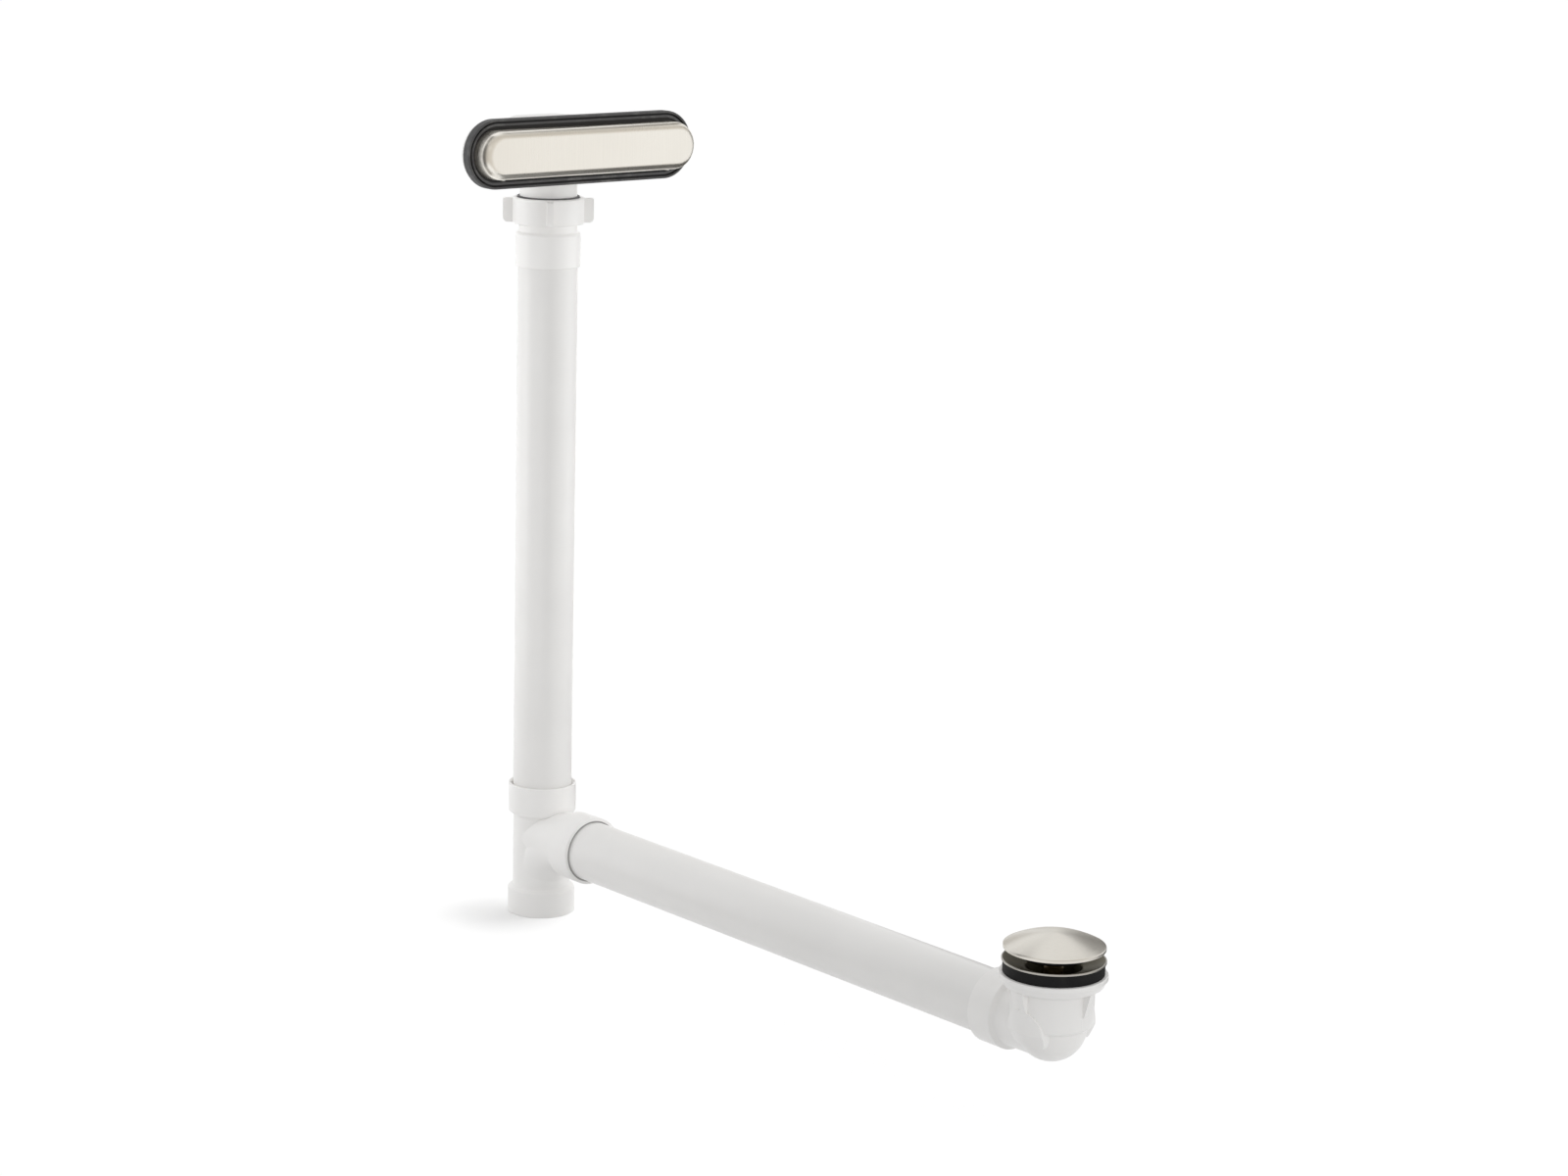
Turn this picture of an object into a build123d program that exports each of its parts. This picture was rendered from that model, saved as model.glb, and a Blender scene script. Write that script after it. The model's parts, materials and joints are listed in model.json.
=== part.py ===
# Bath waste and overflow: an overflow head on a standpipe, a sanitary tee and a cross pipe
# that runs to an elbow under the drain, with a push-to-close stopper.
# Millimetres. The origin is the centre of the tee's outlet mouth, +Z is up the standpipe,
# and the cross pipe runs towards -Y. "Reach" is a distance along -Y from the standpipe axis.
import os
from math import asin, cos, degrees, radians, sin, sqrt

from build123d import *

os.makedirs("parts", exist_ok=True)

# Pipe and solvent sockets
pipe_od = 48.3
pipe_wall = 3.7
weld_gap = 0.1
socket_depth = 18.0
socket_lead = 3.0
socket_flare = 1.9
rim_round = 0.8
shoulder_rise = 3.0
shoulder_round = 1.5

# Sanitary tee
tee_height = 110.7
cross_height = 66.4
branch_reach = 68.3
tee_hub_od = 55.7
tee_hub_length = 24.0
outlet_hub_length = 20.5
tee_body_od = 47.6
branch_od = 47.0
sweep_step = 0.4
branch_bore_step = 0.6

# Slip joint between the standpipe and the overflow spout
slip_drop = 97.2
adapter_hub_od = 52.4
adapter_hub_length = 28.0
adapter_neck_od = 46.8
adapter_neck_length = 6.5
collar_od = 52.8
collar_length = 16.0
cup_floor_wall = 2.0
spout_od = 46.0
spout_wall = 3.5
spout_gap = 0.4
spout_lift = 1.0
washer_seat = 2.0
washer_lip_wall = 2.0
washer_show = 0.9
washer_gap = 0.05
nut_od = 57.4
nut_height = 21.2
nut_lip = 3.1
thread_gap = 0.3
lug_count = 4
lug_angle = 235.0
lug_width = 5.0
lug_reach = 36.4
lug_foot_round = 4.0
lug_top_round = 1.5

# Overflow head; depths run towards the bath from the standpipe axis
overflow_height = 637.8
gasket_length = 221.9
gasket_height = 54.4
gasket_width = 13.7
gasket_back = 36.5
gasket_thickness = 7.3
gasket_land = 5.3
ridge_width = 2.0
groove_width = 1.4
groove_depth = 2.6
second_ridge = 6.6
ridge_round = 0.7
flange_inset = 1.8
flange_thickness = 4.0
pan_inset = 9.0
pan_wall = 3.0
pan_back_length = 64.0
pan_back_height = 46.0
pan_back_depth = 25.0
pan_back_round = 6.0
boss_spread = 116.0
boss_od = 10.4
boss_length = 24.0
boss_recess = 2.5
web_thickness = 3.0
insert_od = 7.0
insert_length = 11.0
insert_gap = 0.05
screw_od = 5.0
screw_head_od = 9.0
screw_head_height = 2.8
screw_head_round = 0.9
screw_length = 27.0
screw_gap = 0.15
plate_thickness = 2.5
plate_margin = 2.6
window_length = 38.0
window_height = 20.0
window_bar = 3.0
cover_end_margin = 5.95
cover_side_margin = 8.2
cover_front = 58.6
cover_wall = 1.6
cover_round = 6.5
cover_seat_gap = 0.4
ear_inset = 4.0
ear_width = 12.0
ear_height = 7.0
ear_depth = 9.0
set_screw_od = 4.0
set_screw_show = 1.0
hex_size = 2.0
hex_depth = 1.5

# Waste shoe, on the drain axis
drain_reach = 600.0
shoe_top = 106.4
shoe_flange_od = 78.4
shoe_lip = 3.2
shoe_lip_step = 0.5
shoe_flange_foot = 98.2
shoe_flange_foot_od = 73.0
shoe_cup_od = 60.4
shoe_cup_foot = 69.5
shoe_cup_round = 2.0
bowl_od = 51.6
bowl_wall = 4.0
shoe_hub_od = 56.2
shoe_hub_mouth = 65.5
shoe_hub_length = 30.0
shoe_neck_od = 49.2
rib_width = 5.0
rib_reach = 6.5
rib_foot_reach = 1.2
rib_foot = 80.0
rib_turn = 5.0
pad_od = 35.0
pad_rise = 1.8
pad_foot = 57.0
pad_foot_inset = 5.0
pad_taper = 10.0
thread_floor = 72.0

# Strainer flange and its washer
tail_od = 46.6
tail_wall = 3.0
tail_foot = 74.0
lip_od = 75.2
lip_top = 116.6
lip_edge = 1.4
lip_round = 0.55
lip_land = 0.8
dish_drop = 6.0
dish_wall = 2.0
shoe_washer_od = 73.2
shoe_washer_gap = 0.9
cross_thickness = 3.5
cross_foot = 77.0
cross_bar_height = 5.0
cross_boss_od = 13.0
cross_boss_height = 8.0

# Push-to-close stopper
stud_od = 7.8
stud_gap = 0.1
barrel_od = 14.0
barrel_top = 111.0
barrel_floor = 3.0
barrel_bore = 10.8
slide_gap = 0.35
stopper_travel = 6.0
spring_wire = 0.8
spring_od = 9.6
spring_turns = 5.0
spring_length = 11.5
rotor_height = 4.5
rotor_teeth = 6
rotor_tooth_depth = 1.4
rotor_slot_length = 3.0
rotor_slot_width = 2.3
rotor_gap = 0.2
pilot_od = 3.8
cap_od = 73.8
cap_rim = 123.6
cap_rise = 12.5
cap_edge = 0.6
cap_wall = 2.4
cap_rim_land = 1.4
cap_boss_od = 16.0
cap_stud_length = 8.0
carrier_od = 38.0
carrier_height = 5.5
carrier_groove = 2.0
carrier_ledge = 1.5
carrier_clear = 1.0
seal_od = 56.0
seal_bevel = 1.4
seal_gap = 0.1
seal_seat_gap = 0.3

# Sizes that follow from the ones above
pipe_r = pipe_od / 2
bore_r = pipe_r - pipe_wall
adapter_bottom = overflow_height - slip_drop
socket_r = pipe_r + weld_gap
standpipe_foot = tee_height - socket_depth
standpipe_top = adapter_bottom + socket_depth
cross_start = branch_reach - socket_depth
shoe_mouth = drain_reach - shoe_hub_mouth
cross_end = shoe_mouth + socket_depth
neck_foot = adapter_bottom + adapter_hub_length
collar_foot = neck_foot + adapter_neck_length
collar_top = collar_foot + collar_length
cup_floor = collar_foot + cup_floor_wall
spout_r = spout_od / 2
spout_foot = cup_floor + spout_lift
washer_top = collar_top + washer_seat
nut_top = washer_top + nut_lip
nut_foot = nut_top - nut_height
washer_lip_r = spout_r + washer_gap + washer_lip_wall
land_front = gasket_back + gasket_land
plate_front = land_front + plate_thickness
cover_back = land_front + cover_seat_gap
cover_length = gasket_length - 2 * cover_end_margin
cover_height = gasket_height - 2 * cover_side_margin
window_gasket_length = gasket_length - 2 * gasket_width
window_gasket_height = gasket_height - 2 * gasket_width
pan_length = gasket_length - 2 * flange_inset - 2 * pan_inset
pan_height = gasket_height - 2 * flange_inset - 2 * pan_inset
pan_front = gasket_back - flange_thickness
boss_front = gasket_back - boss_recess
tail_r = tail_od / 2
throat_r = tail_r - tail_wall
lip_r = lip_od / 2
dish_r = lip_r - lip_land
dish_slope = dish_drop / (dish_r - throat_r)
lip_foot = lip_top - lip_edge
dish_foot = lip_top - dish_drop - dish_wall
under_slope = (lip_foot - dish_foot) / (lip_r - tail_r)
barrel_foot = cross_foot + cross_boss_height
spring_foot = barrel_foot + barrel_floor
spring_top = spring_foot + spring_length
rotor_top = spring_top + rotor_height
stem_r = barrel_bore / 2 - slide_gap
carrier_foot = barrel_top + stopper_travel + carrier_clear
carrier_top = carrier_foot + carrier_height
cap_r = cap_od / 2

# Planes and axes of the four places where pieces are turned or moulded
cross_plane = Plane(origin=(0, 0, cross_height), x_dir=(0, -1, 0), z_dir=(-1, 0, 0))
cross_axis = Axis((0, 0, cross_height), (0, -1, 0))
drain_centre = (0, -drain_reach, 0)
drain_plane = Plane(origin=drain_centre, x_dir=(1, 0, 0), z_dir=(0, -1, 0))
drain_top_plane = Plane(origin=drain_centre, x_dir=(1, 0, 0), z_dir=(0, 0, 1))
drain_axis = Axis(drain_centre, (0, 0, 1))
overflow_plane = Plane(origin=(0, 0, overflow_height), x_dir=(1, 0, 0), z_dir=(0, -1, 0))


def save(part, name):
    part.label = name
    export_step(part, f"parts/{name}.step")


# Standpipe
with BuildPart() as standpipe:
    with BuildSketch(Plane.XY.offset(standpipe_foot)):
        Circle(pipe_r)
        Circle(bore_r, mode=Mode.SUBTRACT)
    extrude(amount=standpipe_top - standpipe_foot)
save(standpipe.part, "standpipe")

# Cross pipe
with BuildPart() as cross_pipe:
    with BuildSketch(Plane(origin=(0, -cross_start, cross_height), z_dir=(0, -1, 0))):
        Circle(pipe_r)
        Circle(bore_r, mode=Mode.SUBTRACT)
    extrude(amount=cross_end - cross_start)
save(cross_pipe.part, "cross_pipe")

# Sanitary tee: a turned run, and a straight branch whose underside sweeps down into it
tee_hub_r = tee_hub_od / 2
tee_body_r = tee_body_od / 2
tee_top_hub_foot = tee_height - tee_hub_length
branch_hub_foot = branch_reach - tee_hub_length
branch_r = branch_od / 2
branch_bore_r = bore_r - branch_bore_step
sweep_radius = branch_hub_foot - shoulder_rise
run_corners = [
    (0, 0, 0),
    (tee_hub_r, 0, rim_round),
    (tee_hub_r, outlet_hub_length, shoulder_round),
    (tee_body_r, outlet_hub_length + shoulder_rise, shoulder_round),
    (tee_body_r, tee_top_hub_foot - shoulder_rise, shoulder_round),
    (tee_hub_r, tee_top_hub_foot, shoulder_round),
    (tee_hub_r, tee_height, rim_round),
    (0, tee_height, 0),
]
branch_corners = [
    (0, 0, 0),
    (0, branch_r, 0),
    (branch_hub_foot - shoulder_rise, branch_r, shoulder_round),
    (branch_hub_foot, tee_hub_r, shoulder_round),
    (branch_reach, tee_hub_r, rim_round),
    (branch_reach, 0, 0),
]
with BuildPart() as waste_tee:
    with BuildSketch(Plane.XZ):
        with BuildLine():
            FilletPolyline(*[c[:2] for c in run_corners], radius=[c[2] for c in run_corners], close=True)
        make_face()
    revolve(axis=Axis.Z)
    with BuildSketch(cross_plane):
        with BuildLine():
            FilletPolyline(
                *[c[:2] for c in branch_corners], radius=[c[2] for c in branch_corners], close=True
            )
        make_face()
    revolve(axis=cross_axis)
    with BuildLine(cross_plane):
        CenterArc((sweep_radius, -sweep_radius), sweep_radius, 90, 90)
    with BuildSketch(Plane(origin=(0, -sweep_radius, cross_height), z_dir=(0, 1, 0))):
        Circle(branch_r - sweep_step)
    sweep()
    # Waterway: two run sockets with flared mouths, the bore, and the swept branch
    with BuildSketch(Plane.XZ):
        with BuildLine():
            Polyline(
                (0, 0),
                (socket_r + socket_flare, 0),
                (socket_r, socket_lead),
                (socket_r, socket_depth),
                (bore_r, socket_depth),
                (bore_r, standpipe_foot),
                (socket_r, standpipe_foot),
                (socket_r, tee_height - socket_lead),
                (socket_r + socket_flare, tee_height),
                (0, tee_height),
                close=True,
            )
        make_face()
    revolve(axis=Axis.Z, mode=Mode.SUBTRACT)
    with BuildSketch(cross_plane):
        with BuildLine():
            Polyline(
                (0, 0),
                (0, branch_bore_r),
                (cross_start, branch_bore_r),
                (cross_start, socket_r),
                (branch_reach, socket_r),
                (branch_reach, 0),
                close=True,
            )
        make_face()
    revolve(axis=cross_axis, mode=Mode.SUBTRACT)
    with BuildLine(cross_plane):
        CenterArc((sweep_radius, -sweep_radius), sweep_radius, 90, 90)
    with BuildSketch(Plane(origin=(0, -sweep_radius, cross_height), z_dir=(0, 1, 0))):
        Circle(branch_bore_r - sweep_step)
    sweep(mode=Mode.SUBTRACT)
save(waste_tee.part, "waste_tee")

# Slip adapter: a pipe socket below, a threaded cup for the spout above
adapter_corners = [
    (bore_r, standpipe_top, 0),
    (socket_r, standpipe_top, 0),
    (socket_r, adapter_bottom, 0),
    (adapter_hub_od / 2, adapter_bottom, rim_round),
    (adapter_hub_od / 2, neck_foot - shoulder_rise / 2, shoulder_round),
    (adapter_neck_od / 2, neck_foot, shoulder_round),
    (adapter_neck_od / 2, collar_foot, 0),
    (collar_od / 2, collar_foot, rim_round),
    (collar_od / 2, collar_top, rim_round),
    (spout_r + spout_gap, collar_top, 0),
    (spout_r + spout_gap, cup_floor, 0),
    (bore_r, cup_floor, 0),
]
with BuildPart() as slip_adapter:
    with BuildSketch(Plane.XZ):
        with BuildLine():
            FilletPolyline(
                *[c[:2] for c in adapter_corners], radius=[c[2] for c in adapter_corners], close=True
            )
        make_face()
    revolve(axis=Axis.Z)
save(slip_adapter.part, "slip_adapter")

# Slip washer: a seat under the nut's lip and a thin lip that shows above the nut
with BuildPart() as slip_washer:
    with BuildSketch(Plane.XZ):
        with BuildLine():
            Polyline(
                (spout_r + washer_gap, collar_top),
                (collar_od / 2, collar_top),
                (collar_od / 2, washer_top),
                (washer_lip_r, washer_top),
                (washer_lip_r, nut_top + washer_show),
                (spout_r + washer_gap, nut_top + washer_show),
                close=True,
            )
        make_face()
    revolve(axis=Axis.Z)
save(slip_washer.part, "slip_washer")

# Slip nut with lugs for gripping by hand
nut_r = nut_od / 2
nut_corners = [
    (collar_od / 2 + thread_gap, nut_foot, 0),
    (nut_r, nut_foot, rim_round),
    (nut_r, nut_top, shoulder_round),
    (washer_lip_r + thread_gap, nut_top, rim_round),
    (washer_lip_r + thread_gap, washer_top, 0),
    (collar_od / 2 + thread_gap, washer_top, 0),
]
nut_wall_middle = (nut_r + collar_od / 2 + thread_gap) / 2
with BuildPart() as slip_nut:
    with BuildSketch(Plane.XZ):
        with BuildLine():
            FilletPolyline(*[c[:2] for c in nut_corners], radius=[c[2] for c in nut_corners], close=True)
        make_face()
    revolve(axis=Axis.Z)
    for turn in range(lug_count):
        angle = radians(lug_angle + turn * 360 / lug_count)
        lug_plane = Plane(
            origin=(0, 0, 0), x_dir=(cos(angle), sin(angle), 0), z_dir=(sin(angle), -cos(angle), 0)
        )
        with BuildSketch(lug_plane):
            with BuildLine():
                FilletPolyline(
                    (nut_wall_middle, nut_foot + rim_round),
                    (lug_reach, nut_foot + rim_round),
                    (lug_reach, nut_top - rim_round),
                    (nut_wall_middle, nut_top - rim_round),
                    radius=[0, lug_foot_round, lug_top_round, 0],
                    close=True,
                )
            make_face()
        extrude(amount=lug_width / 2, both=True)
save(slip_nut.part, "slip_nut")

# Overflow body: a pill-shaped flange, a pan that narrows towards its back, and the spout
with BuildPart() as overflow_body:
    with BuildSketch(overflow_plane.offset(pan_front)):
        SlotOverall(gasket_length - 2 * flange_inset, gasket_height - 2 * flange_inset)
    extrude(amount=flange_thickness)
    with BuildSketch(overflow_plane.offset(pan_front)):
        SlotOverall(pan_length + 2 * pan_wall, pan_height + 2 * pan_wall)
    with BuildSketch(overflow_plane.offset(-pan_back_depth)):
        SlotOverall(pan_back_length, pan_back_height)
    loft()
    fillet(overflow_body.edges().group_by(Axis.Y)[-1], pan_back_round)
    with BuildSketch(Plane.XY.offset(spout_foot)):
        Circle(spout_r)
    extrude(amount=overflow_height - spout_foot)
    # Hollow of the pan and of the spout
    with BuildSketch(overflow_plane.offset(gasket_back)):
        SlotOverall(pan_length, pan_height)
    with BuildSketch(overflow_plane.offset(pan_wall - pan_back_depth)):
        SlotOverall(pan_back_length - 2 * pan_wall, pan_back_height - 2 * pan_wall)
    loft(mode=Mode.SUBTRACT)
    with BuildSketch(Plane.XY.offset(spout_foot)):
        Circle(spout_r - spout_wall)
    extrude(amount=overflow_height - spout_foot, mode=Mode.SUBTRACT)
    # Screw bosses, each on a web across the pan
    with BuildSketch(overflow_plane.offset(boss_front)):
        with GridLocations(boss_spread, 0, 2, 1):
            Circle(boss_od / 2)
            Rectangle(web_thickness, pan_height + pan_wall)
    extrude(amount=-boss_length)
    with BuildSketch(overflow_plane.offset(boss_front)):
        with GridLocations(boss_spread, 0, 2, 1):
            Circle(insert_od / 2 + insert_gap)
    extrude(amount=-insert_length, mode=Mode.SUBTRACT)
    with BuildSketch(overflow_plane.offset(boss_front)):
        with GridLocations(boss_spread, 0, 2, 1):
            Circle(screw_od / 2 + screw_gap)
    extrude(amount=-boss_length, mode=Mode.SUBTRACT)
save(overflow_body.part, "overflow_body")

# Brass inserts in the bosses
with BuildPart() as boss_inserts:
    with BuildSketch(overflow_plane.offset(boss_front)):
        with GridLocations(boss_spread, 0, 2, 1):
            Circle(insert_od / 2)
            Circle(screw_od / 2 + screw_gap, mode=Mode.SUBTRACT)
    extrude(amount=-insert_length)
save(boss_inserts.part, "boss_inserts")

# Overflow gasket: a flat ring with two raised ridges round its front
ridge_gap = ridge_width + groove_width
with BuildPart() as overflow_gasket:
    with BuildSketch(overflow_plane.offset(gasket_back)):
        SlotOverall(gasket_length, gasket_height)
        SlotOverall(window_gasket_length, window_gasket_height, mode=Mode.SUBTRACT)
    extrude(amount=gasket_land)
    with BuildSketch(overflow_plane.offset(land_front)):
        SlotOverall(gasket_length, gasket_height)
        SlotOverall(gasket_length - 2 * ridge_width, gasket_height - 2 * ridge_width, mode=Mode.SUBTRACT)
    extrude(amount=gasket_thickness - gasket_land)
    fillet(overflow_gasket.edges().group_by(Axis.Y)[0], ridge_round)
    with BuildSketch(overflow_plane.offset(land_front)):
        SlotOverall(gasket_length - 2 * ridge_gap, gasket_height - 2 * ridge_gap)
        SlotOverall(
            gasket_length - 2 * ridge_gap - 2 * ridge_width,
            gasket_height - 2 * ridge_gap - 2 * ridge_width,
            mode=Mode.SUBTRACT,
        )
    extrude(amount=second_ridge - gasket_land)
    with BuildSketch(overflow_plane.offset(land_front)):
        SlotOverall(gasket_length - 2 * ridge_width, gasket_height - 2 * ridge_width)
        SlotOverall(gasket_length - 2 * ridge_gap, gasket_height - 2 * ridge_gap, mode=Mode.SUBTRACT)
    extrude(amount=gasket_thickness - groove_depth - gasket_land, mode=Mode.SUBTRACT)
save(overflow_gasket.part, "overflow_gasket")

# Overflow cover: a pill-shaped shell, open at its back
plate_length = cover_length - 2 * cover_wall - 2 * plate_margin
plate_height = cover_height - 2 * cover_wall - 2 * plate_margin
ear_spread = plate_length - plate_height - 2 * ear_inset
set_screw_reach = plate_front + ear_depth / 2
with BuildPart() as overflow_cover:
    with BuildSketch(overflow_plane.offset(cover_back)):
        SlotOverall(cover_length, cover_height)
    extrude(amount=cover_front - cover_back)
    fillet(overflow_cover.edges().group_by(Axis.Y)[0], cover_round)
    offset(amount=-cover_wall, openings=overflow_cover.faces().sort_by(Axis.Y)[-1])
    with BuildSketch(Plane(origin=(0, -set_screw_reach, overflow_height - cover_height / 2))):
        with GridLocations(ear_spread, 0, 2, 1):
            Circle(set_screw_od / 2 + insert_gap)
    extrude(amount=2 * cover_wall, both=True, mode=Mode.SUBTRACT)
save(overflow_cover.part, "overflow_cover")

# Bracket: a plate with windows for the water, and two ears that the cover's screws bear on
ear_foot = overflow_height - plate_height / 2
with BuildPart() as cover_bracket:
    with BuildSketch(overflow_plane.offset(land_front)):
        SlotOverall(plate_length, plate_height)
        with GridLocations(window_length + window_bar, 0, 2, 1):
            SlotOverall(window_length, window_height, mode=Mode.SUBTRACT)
        with GridLocations(boss_spread, 0, 2, 1):
            Circle(screw_od / 2 + screw_gap, mode=Mode.SUBTRACT)
    extrude(amount=plate_thickness)
    with BuildSketch(overflow_plane.offset(plate_front)):
        with Locations(
            (-ear_spread / 2, (ear_height - plate_height) / 2),
            (ear_spread / 2, (ear_height - plate_height) / 2),
        ):
            Rectangle(ear_width, ear_height)
    extrude(amount=ear_depth)
save(cover_bracket.part, "cover_bracket")

# Bracket screws
with BuildPart() as bracket_screws:
    with BuildSketch(overflow_plane.offset(plate_front)):
        with GridLocations(boss_spread, 0, 2, 1):
            Circle(screw_head_od / 2)
    extrude(amount=screw_head_height)
    fillet(bracket_screws.edges().group_by(Axis.Y)[0], screw_head_round)
    with BuildSketch(overflow_plane.offset(plate_front)):
        with GridLocations(boss_spread, 0, 2, 1):
            Circle(screw_od / 2)
    extrude(amount=-screw_length)
save(bracket_screws.part, "bracket_screws")

# Set screws that stand out a little below the cover, with hexagon sockets
set_screw_foot = overflow_height - cover_height / 2 - set_screw_show
with BuildPart() as cover_set_screws:
    with BuildSketch(Plane(origin=(0, -set_screw_reach, set_screw_foot))):
        with GridLocations(ear_spread, 0, 2, 1):
            Circle(set_screw_od / 2)
    extrude(amount=ear_foot - set_screw_foot)
    with BuildSketch(Plane(origin=(0, -set_screw_reach, set_screw_foot))):
        with GridLocations(ear_spread, 0, 2, 1):
            RegularPolygon(hex_size / sqrt(3), 6)
    extrude(amount=hex_depth, mode=Mode.SUBTRACT)
save(cover_set_screws.part, "cover_set_screws")

# Waste shoe: flange and cup on the drain axis, a round bowl, and a neck and hub on the cross axis.
# A round pad stands on each side, where the two axes meet, and the ribs under the flange taper down.
cup_r = shoe_cup_od / 2
bowl_r = bowl_od / 2
flange_r = shoe_flange_od / 2
flange_foot_r = shoe_flange_foot_od / 2
shoe_corners = [
    (0, cross_height, 0),
    (bowl_r, cross_height, 0),
    (cup_r, shoe_cup_foot, shoe_cup_round),
    (cup_r, shoe_flange_foot - shoulder_rise, shoulder_round),
    (flange_foot_r, shoe_flange_foot, shoulder_round),
    (flange_r - shoe_lip_step, shoe_top - shoe_lip, 0),
    (flange_r, shoe_top - shoe_lip, 0),
    (flange_r, shoe_top, rim_round),
    (0, shoe_top, 0),
]
shoe_hub_corners = [
    (shoe_mouth, 0, 0),
    (shoe_mouth, shoe_hub_od / 2, rim_round),
    (shoe_mouth + shoe_hub_length, shoe_hub_od / 2, shoulder_round),
    (shoe_mouth + shoe_hub_length + shoulder_rise, shoe_neck_od / 2, shoulder_round),
    (drain_reach, shoe_neck_od / 2, 0),
    (drain_reach, 0, 0),
]
pad_r = cup_r + pad_rise
pad_top = cross_height + pad_od / 2
with BuildPart() as side_pads:
    with BuildSketch(drain_plane):
        with BuildLine():
            Polyline(
                (0, pad_foot),
                (pad_r - pad_foot_inset, pad_foot),
                (pad_r, pad_foot + pad_taper),
                (pad_r, pad_top),
                (0, pad_top),
                close=True,
            )
        make_face()
    revolve(axis=drain_axis)
    with BuildSketch(Plane(origin=(0, -drain_reach, cross_height), z_dir=(1, 0, 0))):
        Circle(pad_od / 2)
    extrude(amount=pad_r, both=True, mode=Mode.INTERSECT)
with BuildPart() as waste_shoe:
    with Locations((0, -drain_reach, cross_height)):
        Sphere(bowl_r)
    with BuildSketch(drain_plane):
        with BuildLine():
            FilletPolyline(*[c[:2] for c in shoe_corners], radius=[c[2] for c in shoe_corners], close=True)
        make_face()
    revolve(axis=drain_axis)
    with BuildSketch(cross_plane):
        with BuildLine():
            FilletPolyline(
                *[c[:2] for c in shoe_hub_corners], radius=[c[2] for c in shoe_hub_corners], close=True
            )
        make_face()
    revolve(axis=cross_axis)
    add(side_pads.part)
    for quarter in (180, 270, 360):
        angle = radians(quarter + rib_turn)
        across = (cos(angle), sin(angle), 0)
        rib_plane = Plane(origin=drain_centre, x_dir=across, z_dir=(across[1], -across[0], 0))
        with BuildSketch(rib_plane):
            with BuildLine():
                Polyline(
                    (cup_r - shoulder_rise, shoe_flange_foot),
                    (cup_r + rib_reach, shoe_flange_foot),
                    (cup_r + rib_foot_reach, rib_foot),
                    (cup_r - shoulder_rise, rib_foot),
                    close=True,
                )
            make_face()
        extrude(amount=rib_width / 2, both=True)
    # Waterway: threaded cup, bowl, cross bore and pipe socket
    with BuildSketch(drain_top_plane.offset(thread_floor)):
        Circle(tail_r + thread_gap)
    extrude(amount=shoe_top - thread_floor, mode=Mode.SUBTRACT)
    with BuildSketch(drain_top_plane.offset(cross_height)):
        Circle(bowl_r - bowl_wall)
    extrude(amount=thread_floor - cross_height, mode=Mode.SUBTRACT)
    with Locations((0, -drain_reach, cross_height)):
        Sphere(bowl_r - bowl_wall, mode=Mode.SUBTRACT)
    with BuildSketch(cross_plane):
        with BuildLine():
            Polyline(
                (shoe_mouth, 0),
                (shoe_mouth, socket_r),
                (cross_end, socket_r),
                (cross_end, bore_r),
                (drain_reach, bore_r),
                (drain_reach, 0),
                close=True,
            )
        make_face()
    revolve(axis=cross_axis, mode=Mode.SUBTRACT)
save(waste_shoe.part, "waste_shoe")

# Shoe washer: its top is bevelled to the underside of the strainer's flange
washer_r = shoe_washer_od / 2
washer_bore_r = tail_r + shoe_washer_gap
with BuildPart() as shoe_washer:
    with BuildSketch(drain_plane):
        with BuildLine():
            FilletPolyline(
                (washer_bore_r, shoe_top),
                (washer_r, shoe_top),
                (washer_r, lip_foot - (lip_r - washer_r) * under_slope),
                (washer_bore_r, lip_foot - (lip_r - washer_bore_r) * under_slope),
                radius=[0, rim_round / 2, 0, 0],
                close=True,
            )
        make_face()
    revolve(axis=drain_axis)
save(shoe_washer.part, "shoe_washer")

# Strainer flange: a dished lip, a threaded tail, and a cross with a threaded boss
strainer_corners = [
    (throat_r, tail_foot, 0),
    (tail_r, tail_foot, rim_round),
    (tail_r, dish_foot, 0),
    (lip_r, lip_foot, 0),
    (lip_r, lip_top, lip_round),
    (dish_r, lip_top, 0),
    (throat_r, lip_top - dish_drop, shoulder_round),
]
with BuildPart() as strainer_flange:
    with BuildSketch(drain_plane):
        with BuildLine():
            FilletPolyline(
                *[c[:2] for c in strainer_corners], radius=[c[2] for c in strainer_corners], close=True
            )
        make_face()
    revolve(axis=drain_axis)
    with BuildSketch(drain_top_plane.offset(cross_foot)):
        Rectangle(2 * throat_r + tail_wall, cross_thickness)
        Rectangle(cross_thickness, 2 * throat_r + tail_wall)
    extrude(amount=cross_bar_height)
    with BuildSketch(drain_top_plane.offset(cross_foot)):
        Circle(cross_boss_od / 2)
    extrude(amount=cross_boss_height)
    with BuildSketch(drain_top_plane.offset(cross_foot)):
        Circle(stud_od / 2 + stud_gap)
    extrude(amount=cross_boss_height, mode=Mode.SUBTRACT)
save(strainer_flange.part, "strainer_flange")

# Cartridge barrel: a stud in the cross, and a bore that guides the plunger
with BuildPart() as cartridge_barrel:
    with BuildSketch(drain_top_plane.offset(cross_foot)):
        Circle(stud_od / 2)
    extrude(amount=cross_boss_height)
    with BuildSketch(drain_top_plane.offset(barrel_foot)):
        Circle(barrel_od / 2)
    extrude(amount=barrel_top - barrel_foot)
    chamfer(cartridge_barrel.edges().group_by(Axis.Z)[-1], rim_round)
    with BuildSketch(drain_top_plane.offset(spring_foot)):
        Circle(barrel_bore / 2)
    extrude(amount=barrel_top - spring_foot, mode=Mode.SUBTRACT)
save(cartridge_barrel.part, "cartridge_barrel")

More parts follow.
